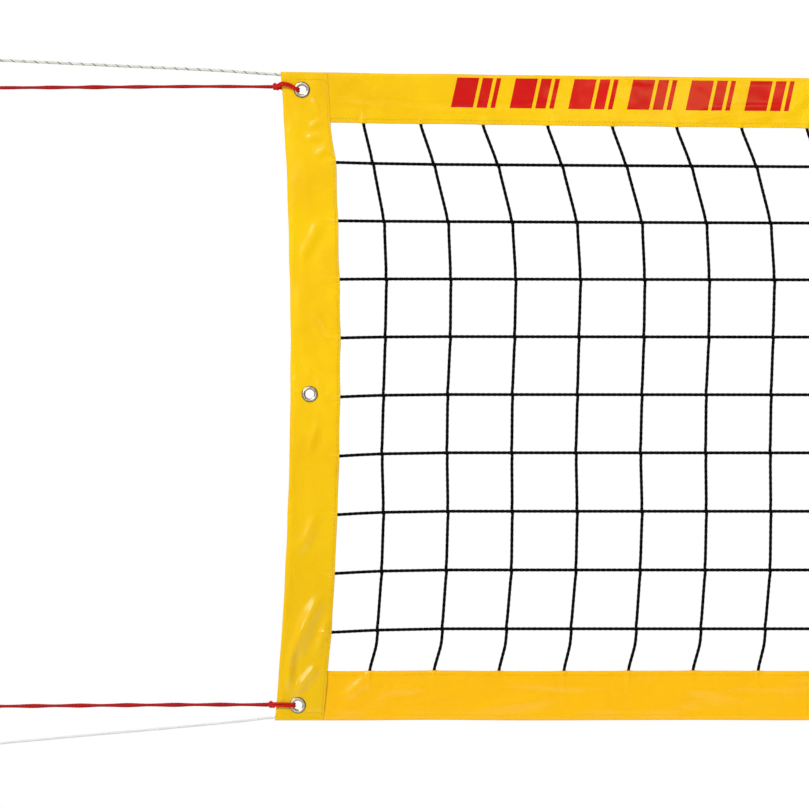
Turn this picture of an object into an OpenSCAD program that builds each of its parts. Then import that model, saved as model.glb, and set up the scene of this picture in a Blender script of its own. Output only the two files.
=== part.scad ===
// Beach volleyball net: a corded mesh in a frame of folded bands, carried by a headline
// and a footline that run through its hems, and held at the corners by four tie cords.
// The net lies in the XZ plane. +X runs along it, +Z is up and its front faces -Y.
// The origin is the centre of the loop at the left end of the headline.

/* [Net] */
// Length of the net between its top corners
net_length = 8500; // [8000:100:9500]
// Height of the net at its ends
net_height = 1000; // [980:5:1020]
// Drop of the top edge at mid length
top_sag = 28; // [0:1:30]
// Inward bow of each end at mid height
end_bow = 19; // [10:1:22]
// Outward flare of each bottom corner
corner_flare = 9; // [4:1:10]

/* [Bands] */
// Height of the top band
top_band_h = 77; // [75:1:85]
// Height of the bottom band
bottom_band_h = 76; // [72:1:82]
// Width of each end band
end_band_w = 77; // [72:1:82]
// Thickness of one layer of band sheet
sheet_t = 0.8; // [0.5:0.1:1]

/* [Mesh] */
// Nominal distance between upright cords
mesh_pitch = 100; // [90:1:120]
// Width of a mesh cord
cord_w = 4; // [2:0.5:4]
// Lean of the upright cords at the top band, towards the nearer end
top_lean = 46; // [0:1:50]
// Lean of the upright cords at the bottom band, towards the nearer end
bottom_lean = 25; // [0:1:30]

/* [Eyelets] */
// Radius of the hole through an eyelet
eyelet_r = 7; // [7:0.5:8]
// Radius of the eyelet flange and of its washer
flange_r = 12.5; // [11:0.5:13]

/* [Lines and ties] */
// Radius of the headline
headline_r = 2.2; // [1.5:0.1:2.2]
// Radius of the footline
footline_r = 2; // [1.5:0.1:2.2]
// Radius of a doubled tie cord along its run
tie_r = 2.8; // [2:0.1:2.8]
// Radius of the tie strand that passes through an eyelet
hitch_r = 2.2; // [1.5:0.1:2.2]

/* [Hidden] */
$fn = 48;

yellow = [0.98, 0.78, 0.04];
black = [0.06, 0.06, 0.07];
nickel = [0.8, 0.8, 0.82];
rope_white = [0.93, 0.93, 0.9];
red = [0.75, 0.1, 0.12];

// Overlap of a cutting shape past the face it cuts
cut = 5;

// Where the net hangs below and beside the headline's loop
corner_x = 520;
mid_x = corner_x + net_length / 2;
top_z = -22;
bottom_z = top_z - net_height;

// Depth of the fold from the mid plane: mesh cords, top and bottom bands, end bands
pocket_y = 2.5;
band_y = pocket_y + sheet_t;
end_y = band_y + sheet_t;
// Straight steps along a band's long edge and along an end band
edge_steps = 20;
// Setback of the top and bottom bands' ends inside the end bands' folds
top_band_inset = 7;
bottom_band_inset = 0;
// Height of the gap in the end fold where a line comes out of its hem
line_gap_h = 14;

// The mesh: number of level cords, first upright cord, first level cord and their spacing
rows = 9;
first_column = 159.5;
columns = round((net_length - 2 * first_column) / mesh_pitch) + 1;
column_pitch = (net_length - 2 * first_column) / (columns - 1);
column_groups = 4;
group_size = ceil(columns / column_groups);
first_row_drop = 141;
row_pitch = (net_height - 2 * first_row_drop) / (rows - 1);
// Share of the sag that a row takes falls with this power of its height
sag_power = 4;
// Most that a row at mid height bows up
row_bow = 2.6;
// Wander of the upright cords: from one row to the next, and of each knot by itself
row_wander = 3.3;
knot_wander = 0.5;
// Rows spread apart over this distance from each end band, by at most this much
fan_reach = 170;
fan_limit = 6;
// Edge cords inside the bands: size and distance from the band's inner edge
selvage_w = 4;
selvage_inset = 10;

// Eyelets: metal thickness, drop of each centre from the top corner, inset from the end's edge
barrel_t = 0.7;
flange_t = 1.1;
washer_t = 0.7;
curl_w = 1.5;
eyelet_drop = [27.8, net_height / 2 - 3, net_height - 23.3];
eyelet_inset = [30.6, 30, 33.2];
face_y = end_y + flange_t;

// Distance of a line's centre from the outer edge of its hem
hem_drop = 4.1;
// Lines outside the hems, from the loop's knot to the hem, measured from the corner
headline_route = [[-486, 20.5], [-430, 18], [-260, 10], [-110, 3], [-25, -2.6]];
headline_loop_at = [-corner_x, -top_z];
footline_route = [[-486, -40], [-400, -32.5], [-280, -21.5], [-156, -10.5], [-64, -1.6], [-34, 1.9]];
footline_bend = [-24, 3.1];
footline_loop_at = [-corner_x, -43];
// Eye radius of a line's loop, and the knot that closes it
line_eye_r = 14;
line_knot_r = 6;
line_knot_start = 13.5;
line_knot_end = 34;

// Tie cords, measured from their eyelet's centre
top_tie_route = [[-468, 3.5], [-300, 4.5], [-150, 5.5], [-45.2, 5]];
bottom_tie_route = [[-468, -2], [-300, -0.5], [-150, 0.5], [-45.2, 0.5]];
tie_eye_x = -490;
tie_eye_r = 9;
tie_strand_r = 1.6;
tie_knot_r = 4.2;
tie_knot_start = 8;
tie_knot_end = 22;
hitch_knot_x = -41;
hitch_knot_r = 5;
hitch_knot_y = 10;
hitch_knot_flat = 4.2;
hitch_hole_x = -4.4;
hitch_y = face_y + hitch_r + 0.4;

// Sides of a swept line and the most distance between its rings
sides = 8;
ring_step = 13;

// ---- Shape of the net ----

// Height of the top edge at x
function top_edge(x) = top_z - top_sag * (1 - pow((x - mid_x) / (net_length / 2), 2));
// Outer edge of the left end at height z
function end_edge(z) =
    let (t = (top_z - z) / net_height)
    corner_x + 4 * end_bow * t * (1 - t) - corner_flare * t;
// Centre of the left edge cord at height z
function selvage_x(z) = end_edge(z) + end_band_w - selvage_inset;
// The same place at the other end of the net
function other_end(x) = 2 * mid_x - x;

// Spread of row k near the ends, at x
function fan(k, x) =
    let (from_end = min(x, other_end(x)) - corner_x - end_band_w)
    max(-fan_limit, 4 - 1.7 * k) * pow(max(0, 1 - max(0, from_end) / fan_reach), 2);
// Height of the level cord k at x
function row_z(k, x) =
    let (drop = first_row_drop + row_pitch * (k - 1))
    top_z - drop - (top_z - top_edge(x)) * pow(1 - drop / net_height, sag_power) + fan(k, x)
    + row_bow * sin(180 * (k - 1) / (rows - 1));

// Lean of upright cord i at level k: 0 is the top band's edge, rows + 1 the bottom band's.
// The first cord of each end leans less at the top
function lean(i, k) =
    -top_lean * pow(max(0, 1 - k / 2.2), 1.1) * (1 - 0.35 * pow(0.3, min(i - 1, columns - i)))
    - bottom_lean * pow(max(0, (k - 7) / 3), 1.4);
// The lean turns over at mid length
function lean_share(i) = cos(180 * (i - 1) / (columns - 1));
function wander(i, k) = row_wander * sin(60 * k - 90) + knot_wander * sin(97 * i + 151 * k);
function column_x(i, k) =
    corner_x + first_column + column_pitch * (i - 1) + lean(i, k) * lean_share(i) + wander(i, k);
function level_z(k, x) =
    k < 1 ? top_edge(x) - top_band_h :
    k > rows ? bottom_z + bottom_band_h :
    row_z(k, x);

// Height of the edge cords' centres inside the top and bottom bands
function top_selvage_z(x) = top_edge(x) - top_band_h + selvage_inset;
bottom_selvage_z = bottom_z + bottom_band_h - selvage_inset;

// Even steps from a to b
function steps(a, b, n) = [for (i = [0 : n]) a + (b - a) * i / n];
// Closed outline between two edges that run the same way
function between(a, b) = concat(a, [for (i = [len(b) - 1 : -1 : 0]) b[i]]);
// Outlines of a cord along points: one that runs mostly level, one mostly upright
function level_cord(p, w) = between([for (q = p) q + [0, w / 2]], [for (q = p) q - [0, w / 2]]);
function upright_cord(p, w) = between([for (q = p) q - [w / 2, 0]], [for (q = p) q + [w / 2, 0]]);

// ---- Building blocks ----

// A plate with an XZ outline, from y0 to y1
module plate(y0, y1, outline)
    translate([0, y1, 0])
        rotate([90, 0, 0])
            linear_extrude(height = y1 - y0)
                polygon(outline);

// The same thing at the other end of the net
module other_side()
    translate([2 * mid_x, 0, 0])
        mirror([1, 0, 0])
            children();

// A round bar from p to q
module bar(p, q, r) {
    d = q - p;
    translate(p)
        rotate([0, acos(d.z / norm(d)), atan2(d.y, d.x)])
            cylinder(r = r, h = norm(d));
}

// An eye in the XZ plane
module eye(eye_r, r)
    rotate([90, 0, 0])
        rotate_extrude()
            translate([eye_r, 0])
                circle(r = r);

// Points along a route at no more than ring_step apart
function fill_in(p) = concat(
    [for (i = [0 : len(p) - 2])
        let (n = ceil(norm(p[i + 1] - p[i]) / ring_step))
        for (j = [0 : n - 1]) p[i] + (p[i + 1] - p[i]) * j / n],
    [p[len(p) - 1]]
);
// Direction of the route at a point: along X at both ends
function heading(p, i) =
    i == 0 || i == len(p) - 1 ? [1, 0] : (p[i + 1] - p[i - 1]) / norm(p[i + 1] - p[i - 1]);
// A round line swept along XZ points
module swept(p, r) {
    last = len(p) - 1;
    rings = [for (i = [0 : last])
        let (h = heading(p, i))
        for (s = [0 : sides - 1])
            let (a = 360 * (s + 0.5) / sides)
            [p[i].x - h.y * r * sin(a), r * cos(a), p[i].y + h.x * r * sin(a)]];
    walls = [for (i = [0 : last - 1]) for (s = [0 : sides - 1])
        let (t = (s + 1) % sides)
        [i * sides + s, i * sides + t, (i + 1) * sides + t, (i + 1) * sides + s]];
    start = [for (s = [sides - 1 : -1 : 0]) s];
    end = [for (s = [0 : sides - 1]) last * sides + s];
    polyhedron(points = rings, faces = concat([start, end], walls));
}

// ---- Bands ----

function eyelet_at(n) =
    let (z = top_z - eyelet_drop[n])
    [end_edge(z) + eyelet_inset[n], 0, z];

// Holes for the eyelet barrels of both ends
module eyelet_holes(n)
    for (x = [eyelet_at(n).x, other_end(eyelet_at(n).x)])
        translate([x, 0, eyelet_at(n).z])
            rotate([90, 0, 0])
                cylinder(r = eyelet_r + barrel_t, h = 2 * (end_y + cut), center = true);

// Sheet folded over the headline, open at its lower edge where it takes the mesh
module top_band() {
    xs = steps(corner_x + top_band_inset, other_end(corner_x + top_band_inset), edge_steps);
    wide = steps(corner_x - cut, other_end(corner_x - cut), edge_steps);
    color(yellow)
        difference() {
            plate(-band_y, band_y, between(
                [for (x = xs) [x, top_edge(x)]],
                [for (x = xs) [x, top_edge(x) - top_band_h]]));
            plate(-pocket_y, pocket_y, between(
                [for (x = wide) [x, top_edge(x) - sheet_t]],
                [for (x = wide) [x, top_edge(x) - top_band_h - cut]]));
            eyelet_holes(0);
        }
}

// Sheet folded under the footline, open at its upper edge
module bottom_band() {
    x0 = corner_x + bottom_band_inset;
    color(yellow)
        difference() {
            translate([x0, -band_y, bottom_z])
                cube([other_end(x0) - x0, 2 * band_y, bottom_band_h]);
            translate([x0 - cut, -pocket_y, bottom_z + sheet_t])
                cube([other_end(x0) - x0 + 2 * cut, 2 * pocket_y, bottom_band_h + cut]);
            eyelet_holes(2);
        }
}

// Sheet folded round the left end, outside the top and bottom bands
module end_band() {
    zs = steps(top_z, bottom_z, edge_steps);
    tall = steps(top_z + cut, bottom_z - cut, edge_steps);
    inner_top = [end_edge(top_z) + end_band_w, top_edge(end_edge(top_z) + end_band_w)];
    color(yellow)
        difference() {
            plate(-end_y, end_y, between(
                [for (z = zs) [end_edge(z), z]],
                concat([inner_top], [for (i = [1 : edge_steps]) [end_edge(zs[i]) + end_band_w, zs[i]]])));
            plate(-band_y, band_y, between(
                [for (z = tall) [end_edge(z) + sheet_t, z]],
                [for (z = tall) [end_edge(z) + end_band_w + cut, z]]));
            for (z = [top_z - line_gap_h, bottom_z - cut])
                translate([corner_x - end_band_w / 2, -band_y, z])
                    cube([end_band_w, 2 * band_y, line_gap_h + cut]);
            for (n = [0 : 2])
                eyelet_holes(n);
        }
}

// ---- Mesh ----

// Edge cord stitched inside the top band
module top_selvage() {
    x0 = selvage_x(top_z - top_band_h) - selvage_w / 2;
    color(black)
        plate(-pocket_y, pocket_y, level_cord(
            [for (x = steps(x0, other_end(x0), edge_steps)) [x, top_selvage_z(x)]], selvage_w));
}

// Edge cord stitched inside the bottom band
module bottom_selvage() {
    x0 = selvage_x(bottom_selvage_z) - selvage_w / 2;
    color(black)
        translate([x0, -pocket_y, bottom_selvage_z - selvage_w / 2])
            cube([other_end(x0) - x0, 2 * pocket_y, selvage_w]);
}

// Edge cord inside the left end band, thicker where only that band holds it
module side_selvage() {
    z_top = top_selvage_z(selvage_x(top_z - top_band_h)) - selvage_w / 2;
    z_bottom = bottom_selvage_z + selvage_w / 2;
    color(black) {
        plate(-pocket_y, pocket_y, upright_cord(
            [for (z = steps(z_top, z_bottom, edge_steps)) [selvage_x(z), z]], selvage_w));
        plate(-band_y, band_y, upright_cord(
            [for (z = steps(z_top - selvage_inset, z_bottom + selvage_inset, edge_steps))
                [selvage_x(z), z]], selvage_w));
    }
}

// Level cord k, in the front half of the mesh
module mesh_row(k) {
    end_z = row_z(k, corner_x + end_band_w);
    x0 = selvage_x(end_z) + selvage_w / 2;
    xs = concat(
        [x0, corner_x + end_band_w + fan_reach / 4],
        [for (i = [1 : columns]) column_x(i, k)],
        [other_end(corner_x + end_band_w + fan_reach / 4), other_end(x0)]);
    color(black)
        plate(-pocket_y, 0, level_cord([for (x = xs) [x, row_z(k, x)]], cord_w));
}

// Upright cord i, in the back half of the mesh, knotted to every level cord
module mesh_column(i) {
    top_x = column_x(i, 0);
    foot_x = column_x(i, rows + 1);
    p = concat(
        [[top_x, top_selvage_z(top_x) - selvage_w / 2]],
        [for (k = [0 : rows + 1]) [column_x(i, k), level_z(k, column_x(i, k))]],
        [[foot_x, bottom_selvage_z + selvage_w / 2]]);
    plate(0, pocket_y, upright_cord(p, cord_w));
}

// One quarter of the upright cords
module mesh_columns(g)
    color(black)
        for (i = [group_size * (g - 1) + 1 : min(columns, group_size * g)])
            mesh_column(i);

// ---- Eyelets ----

// Pressed eyelet n of the left end: domed flange in front, barrel, rolled curl behind
module eyelet(n)
    color(nickel)
        translate(eyelet_at(n))
            rotate([90, 0, 0])
                rotate_extrude()
                    polygon([
                        [eyelet_r, -face_y],
                        [eyelet_r + barrel_t + curl_w, -face_y],
                        [eyelet_r + barrel_t + curl_w, -end_y - washer_t],
                        [eyelet_r + barrel_t, -end_y - washer_t],
                        [eyelet_r + barrel_t, end_y],
                        [flange_r, end_y],
                        [flange_r, end_y + flange_t / 3],
                        [flange_r - flange_t, face_y],
                        [eyelet_r, face_y]
                    ]);

// Washer behind the band, under the eyelet's curl
module washer(n)
    color(nickel)
        translate(eyelet_at(n))
            rotate([90, 0, 0])
                translate([0, 0, -end_y - washer_t])
                    difference() {
                        cylinder(r = flange_r, h = washer_t);
                        translate([0, 0, -cut])
                            cylinder(r = eyelet_r + barrel_t, h = washer_t + 2 * cut);
                    }

// ---- Headline and footline ----

function from_top_corner(p) = [for (q = p) q + [corner_x, top_z]];
function from_bottom_corner(p) = [for (q = p) q + [corner_x, bottom_z]];

// Loop at the end of a line, with its knot
module line_loop(at, knot_z, r)
    color(rope_white)
        translate([at.x, 0, at.y]) {
            eye(line_eye_r, r);
            translate([line_knot_start, 0, knot_z])
                rotate([0, 90, 0])
                    cylinder(r = line_knot_r, h = line_knot_end - line_knot_start);
        }

// The part of the headline inside the top band
module headline_core() {
    mouth = from_top_corner([headline_route[4]])[0];
    hem = [for (x = steps(corner_x, other_end(corner_x), edge_steps)) [x, top_edge(x) - hem_drop]];
    color(rope_white)
        swept(concat([mouth], hem, [[other_end(mouth.x), mouth.y]]), headline_r);
}

module headline_tail()
    color(rope_white)
        swept(fill_in(from_top_corner(headline_route)), headline_r);

module headline_loop()
    line_loop(headline_loop_at + [corner_x, top_z], -1, headline_r);

// The part of the footline inside the bottom band
module footline_core() {
    mouth = from_bottom_corner([footline_route[5]])[0];
    bend = from_bottom_corner([footline_bend])[0];
    hem_x = corner_x - corner_flare;
    hem_z = bottom_z + hem_drop;
    left = [mouth, bend, [hem_x, hem_z]];
    right = [[other_end(hem_x), hem_z], [other_end(bend.x), bend.y], [other_end(mouth.x), mouth.y]];
    color(rope_white)
        swept(concat(left, right), footline_r);
}

module footline_tail()
    color(rope_white)
        swept(fill_in(from_bottom_corner(footline_route)), footline_r);

module footline_loop()
    line_loop(footline_loop_at + [corner_x, bottom_z], 2.5, footline_r);

// ---- Ties ----

// The doubled strand through eyelet n, round the band's edge, and the knot that gathers it
module tie_hitch(n, route) {
    knot_z = route[3].y;
    color(red)
        translate(eyelet_at(n)) {
            bar([hitch_hole_x, -hitch_y, 0], [hitch_hole_x, hitch_y, 0], hitch_r);
            for (y = [-hitch_y, hitch_y]) {
                translate([hitch_hole_x, y, 0])
                    sphere(r = hitch_r);
                bar([hitch_hole_x, y, 0], [hitch_knot_x, y, knot_z], hitch_r);
            }
            translate([hitch_knot_x, 0, knot_z])
                difference() {
                    rotate([90, 0, 0])
                        cylinder(r = hitch_knot_r, h = 2 * hitch_knot_y, center = true);
                    translate([-hitch_knot_flat - hitch_knot_r, -hitch_knot_y - cut, -hitch_knot_r])
                        cube([hitch_knot_r, 2 * (hitch_knot_y + cut), 2 * hitch_knot_r]);
                }
        }
}

// The doubled cord from the hitch to the end loop
module tie_line(n, route)
    color(red)
        translate(eyelet_at(n))
            swept(fill_in(route), tie_r);

// The loop at the tie's far end, with its knot
module tie_loop(n, route)
    color(red)
        translate(eyelet_at(n) + [tie_eye_x, 0, route[0].y]) {
            eye(tie_eye_r, tie_strand_r);
            translate([tie_knot_start, 0, 0])
                rotate([0, 90, 0])
                    cylinder(r = tie_knot_r, h = tie_knot_end - tie_knot_start);
        }

top_band();
bottom_band();
end_band();  // left_end_band
other_side() end_band();  // right_end_band
top_selvage();
bottom_selvage();
side_selvage();  // left_selvage
other_side() side_selvage();  // right_selvage
mesh_row(1);  // mesh_row_1
mesh_row(2);  // mesh_row_2
mesh_row(3);  // mesh_row_3
mesh_row(4);  // mesh_row_4
mesh_row(5);  // mesh_row_5
mesh_row(6);  // mesh_row_6
mesh_row(7);  // mesh_row_7
mesh_row(8);  // mesh_row_8
mesh_row(9);  // mesh_row_9
mesh_columns(1);  // mesh_columns_1
mesh_columns(2);  // mesh_columns_2
mesh_columns(3);  // mesh_columns_3
mesh_columns(4);  // mesh_columns_4
eyelet(0);  // eyelet_top_left
eyelet(1);  // eyelet_middle_left
eyelet(2);  // eyelet_bottom_left
other_side() eyelet(0);  // eyelet_top_right
other_side() eyelet(1);  // eyelet_middle_right
other_side() eyelet(2);  // eyelet_bottom_right
washer(0);  // washer_top_left
washer(1);  // washer_middle_left
washer(2);  // washer_bottom_left
other_side() washer(0);  // washer_top_right
other_side() washer(1);  // washer_middle_right
other_side() washer(2);  // washer_bottom_right
headline_core();
headline_tail();  // headline_left_tail
other_side() headline_tail();  // headline_right_tail
headline_loop();  // headline_left_loop
other_side() headline_loop();  // headline_right_loop
footline_core();
footline_tail();  // footline_left_tail
other_side() footline_tail();  // footline_right_tail
footline_loop();  // footline_left_loop
other_side() footline_loop();  // footline_right_loop
tie_hitch(0, top_tie_route);  // tie_top_left_hitch
tie_line(0, top_tie_route);  // tie_top_left_line
tie_loop(0, top_tie_route);  // tie_top_left_loop
other_side() tie_hitch(0, top_tie_route);  // tie_top_right_hitch
other_side() tie_line(0, top_tie_route);  // tie_top_right_line
other_side() tie_loop(0, top_tie_route);  // tie_top_right_loop
tie_hitch(2, bottom_tie_route);  // tie_bottom_left_hitch
tie_line(2, bottom_tie_route);  // tie_bottom_left_line
tie_loop(2, bottom_tie_route);  // tie_bottom_left_loop
other_side() tie_hitch(2, bottom_tie_route);  // tie_bottom_right_hitch
other_side() tie_line(2, bottom_tie_route);  // tie_bottom_right_line
other_side() tie_loop(2, bottom_tie_route);  // tie_bottom_right_loop
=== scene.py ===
from math import ceil, cos, hypot, pi, radians, sin, sqrt, tau

import bpy
import numpy as np
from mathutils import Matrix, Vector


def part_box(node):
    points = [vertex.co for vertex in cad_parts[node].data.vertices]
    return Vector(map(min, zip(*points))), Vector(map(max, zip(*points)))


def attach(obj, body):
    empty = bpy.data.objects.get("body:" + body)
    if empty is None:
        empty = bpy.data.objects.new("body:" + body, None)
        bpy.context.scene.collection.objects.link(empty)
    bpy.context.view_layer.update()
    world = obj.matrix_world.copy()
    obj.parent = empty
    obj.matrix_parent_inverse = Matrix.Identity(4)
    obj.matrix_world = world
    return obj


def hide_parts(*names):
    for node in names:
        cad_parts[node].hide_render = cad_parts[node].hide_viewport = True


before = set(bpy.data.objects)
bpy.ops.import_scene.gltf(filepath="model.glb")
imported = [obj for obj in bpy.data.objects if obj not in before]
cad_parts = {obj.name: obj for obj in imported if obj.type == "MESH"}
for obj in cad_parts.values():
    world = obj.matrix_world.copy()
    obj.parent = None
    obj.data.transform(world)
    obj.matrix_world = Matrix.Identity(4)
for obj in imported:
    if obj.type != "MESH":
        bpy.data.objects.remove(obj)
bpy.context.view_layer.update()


# ---- The net's dimensions in metres, as in the CAD model ----

def low(node):
    return np.array(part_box(node)[0])


def high(node):
    return np.array(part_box(node)[1])


CORNER_X = low("bottom_band")[0]
MID_X = (CORNER_X + high("bottom_band")[0]) / 2
NET_LENGTH = 2 * (MID_X - CORNER_X)
TOP_Z = high("left_end_band")[2]
BOTTOM_Z = low("bottom_band")[2]
NET_HEIGHT = TOP_Z - BOTTOM_Z
TOP_SAG = 0.028
END_BOW = 0.019
CORNER_FLARE = 0.009
TOP_BAND_H = 0.077
BOTTOM_BAND_H = high("bottom_band")[2] - BOTTOM_Z
END_BAND_W = 0.077
SHEET_T = 0.0008

FIRST_COLUMN = 0.1595
MESH_PITCH = 0.1
COLUMNS = round((NET_LENGTH - 2 * FIRST_COLUMN) / MESH_PITCH) + 1
COLUMN_PITCH = (NET_LENGTH - 2 * FIRST_COLUMN) / (COLUMNS - 1)
COLUMN_GROUPS = 4
GROUP_SIZE = ceil(COLUMNS / COLUMN_GROUPS)
ROWS = 9
FIRST_ROW_DROP = 0.141
ROW_PITCH = (NET_HEIGHT - 2 * FIRST_ROW_DROP) / (ROWS - 1)
TOP_LEAN = 0.046
BOTTOM_LEAN = 0.025
FAN_REACH = 0.17
FAN_LIMIT = 0.006
SELVAGE_INSET = 0.01
ROW_BOW = 0.0026
ROW_WANDER = 0.0033
KNOT_WANDER = 0.0005
CORD_R = 0.0025
CORD_Y = 0.00125

EYELET_R = 0.007
FLANGE_R = 0.0125
FACE_Y = high("left_end_band")[1]
EYELET_DROP = (0.0278, NET_HEIGHT / 2 - 0.003, NET_HEIGHT - 0.0233)
EYELET_INSET = (0.0306, 0.03, 0.0332)

HEM_DROP = 0.0041
HEADLINE_R = 0.0022
FOOTLINE_R = 0.002
# Routes as (x, z) from a corner of the net, from the loop to the hem
HEADLINE_ROUTE = [
    (-0.486, 0.0205), (-0.43, 0.018), (-0.26, 0.01), (-0.11, 0.003), (-0.025, -0.0026)]
FOOTLINE_ROUTE = [
    (-0.486, -0.04), (-0.4, -0.0325), (-0.28, -0.0215),
    (-0.156, -0.0105), (-0.064, -0.0016), (-0.034, 0.0019)]
LINE_LOOP_Z = {"headline": 0.0, "footline": BOTTOM_Z - 0.043}
LINE_EYE_R = 0.014
LINE_KNOT = (0.015, 0.034)

# Routes as (x, z) from an eyelet, from the tie's loop to its hitch
TOP_TIE_ROUTE = [(-0.468, 0.0035), (-0.3, 0.0045), (-0.15, 0.0055), (-0.0452, 0.005)]
BOTTOM_TIE_ROUTE = [(-0.468, -0.002), (-0.3, -0.0005), (-0.15, 0.0005), (-0.0452, 0.0005)]
TIE_STRAND_R = 0.0018
TIE_LAID_R = 0.0023
TIE_APART = 0.0012
TIE_EYE_X = -0.49
TIE_EYE_R = 0.009
TIE_KNOT = (0.0095, 0.022)
HITCH_KNOT = (-0.0462, -0.0362)


def top_edge(x):
    return TOP_Z - TOP_SAG * (1 - ((x - MID_X) / (NET_LENGTH / 2)) ** 2)


def end_edge(z):
    t = (TOP_Z - z) / NET_HEIGHT
    return CORNER_X + 4 * END_BOW * t * (1 - t) - CORNER_FLARE * t


def bottom_edge(x):
    return BOTTOM_Z + 0 * x


def other_end(x):
    return 2 * MID_X - x


def from_corner(x):
    """Distance along the net from the nearer corner."""
    return np.minimum(x, other_end(x)) - CORNER_X


def row_z(k, x):
    """Height of level cord k at x."""
    drop = FIRST_ROW_DROP + ROW_PITCH * (k - 1)
    from_end = from_corner(x) - END_BAND_W
    nearness = np.maximum(0, 1 - np.maximum(0, from_end) / FAN_REACH) ** 2
    fan = max(-FAN_LIMIT, 0.004 - 0.0017 * k) * nearness
    bow = ROW_BOW * sin(pi * (k - 1) / (ROWS - 1))
    return TOP_Z - drop - (TOP_Z - top_edge(x)) * (1 - drop / NET_HEIGHT) ** 4 + fan + bow


def column_x(i, k):
    """Place of upright cord i at level k, from 0 at the top band to ROWS + 1 at the bottom band."""
    top = -TOP_LEAN * max(0, 1 - k / 2.2) ** 1.1 * (1 - 0.35 * 0.3 ** min(i - 1, COLUMNS - i))
    foot = -BOTTOM_LEAN * max(0, (k - 7) / 3) ** 1.4
    share = cos(pi * (i - 1) / (COLUMNS - 1))
    drift = ROW_WANDER * sin(radians(60 * k - 90)) + KNOT_WANDER * sin(radians(97 * i + 151 * k))
    return CORNER_X + FIRST_COLUMN + COLUMN_PITCH * (i - 1) + (top + foot) * share + drift


def level_z(k, x):
    if k < 1:
        return top_edge(x) - TOP_BAND_H
    if k > ROWS:
        return BOTTOM_Z + BOTTOM_BAND_H
    return row_z(k, x)


def eyelet_at(n):
    z = TOP_Z - EYELET_DROP[n]
    return np.array([end_edge(z) + EYELET_INSET[n], 0, z])


ENDS = (("left", False), ("right", True))
EYELETS = [eyelet_at(n) for n in range(3)]
FAR_EYELETS = [np.array([other_end(e[0]), 0, e[2]]) for e in EYELETS]


# ---- Camera ----

camera = bpy.data.objects.new("camera", bpy.data.cameras.new("camera"))
bpy.context.scene.collection.objects.link(camera)
bpy.context.scene.camera = camera
VIEW_WIDTH = 1.2483
VIEW_X = 0.1906
VIEW_DROP = 0.513
CAMERA_DISTANCE = 5.0
camera.data.sensor_width = 36
camera.data.lens = camera.data.sensor_width * CAMERA_DISTANCE / VIEW_WIDTH
camera.data.clip_end = 100
camera.location = (CORNER_X + VIEW_X, -CAMERA_DISTANCE, TOP_Z - VIEW_DROP)
camera.rotation_euler = (pi / 2, 0, 0)


# ---- Mesh helpers ----

class Shape:
    """Gathers vertices, faces and their UVs, then becomes one object."""

    def __init__(self):
        self.points, self.faces, self.uvs, self.count = [], [], [], 0

    def add(self, points, faces, uvs=None):
        """faces index into points. uvs holds one pair for each corner of each face, in order."""
        points = np.asarray(points, float).reshape(-1, 3)
        faces = [[int(v) + self.count for v in face] for face in faces]
        corners = sum(len(face) for face in faces)
        self.points.append(points)
        self.faces.extend(faces)
        uvs = np.zeros((corners, 2)) if uvs is None else uvs
        self.uvs.append(np.asarray(uvs, float).reshape(-1, 2))
        self.count += len(points)
        return self

    def build(self, name, material, body, slot, replaces=(), mirrored=False):
        points = np.concatenate(self.points)
        mesh = bpy.data.meshes.new(name)
        if mirrored:
            points = points * (-1, 1, 1) + (2 * MID_X, 0, 0)
        mesh.from_pydata(points.tolist(), [], self.faces)
        uvs = np.concatenate(self.uvs).ravel()
        mesh.uv_layers.new(name="UVMap").data.foreach_set("uv", uvs)
        if mirrored:
            mesh.flip_normals()
        mesh.shade_smooth()
        mesh.materials.append(material)
        obj = bpy.data.objects.new(name, mesh)
        bpy.context.scene.collection.objects.link(obj)
        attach(obj, body)
        if replaces:
            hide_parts(*replaces)
        return obj


def grid_quads(rows, columns, closed=(False, False)):
    """Faces of a grid of points that are numbered row by row. closed says if the last row joins
    the first, and if the last column does."""
    i, j = np.meshgrid(np.arange(rows - (not closed[0])), np.arange(columns - (not closed[1])),
                       indexing="ij")
    here, below, right = i * columns, (i + 1) % rows * columns, (j + 1) % columns
    return np.stack([here + j, here + right, below + right, below + j], -1).reshape(-1, 4)


def along(points):
    """How far along a polyline each of its points is."""
    return np.concatenate([[0], np.cumsum(np.linalg.norm(np.diff(points, axis=0), axis=1))])


def even(points, gap):
    """The same polyline with points about gap apart."""
    points = np.asarray(points, float)
    s = along(points)
    at = np.linspace(0, s[-1], max(2, ceil(s[-1] / gap) + 1))
    return np.stack([np.interp(at, s, points[:, axis]) for axis in range(3)], axis=1)


def curve(points, gap):
    """A smooth line through the points, with points about gap apart."""
    p = np.asarray(points, float)
    p = np.concatenate([[2 * p[0] - p[1]], p, [2 * p[-1] - p[-2]]])
    out = []
    for a, b, c, d in zip(p, p[1:], p[2:], p[3:]):
        t = np.linspace(0, 1, 12, endpoint=False)[:, None]
        out.append(0.5 * (2 * b + (c - a) * t + (2 * a - 5 * b + 4 * c - d) * t ** 2
                          + (3 * b - a - 3 * c + d) * t ** 3))
    out.append(p[-2][None])
    return even(np.concatenate(out), gap)


def unit(v):
    return v / np.maximum(np.linalg.norm(v, axis=-1, keepdims=True), 1e-12)


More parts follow.
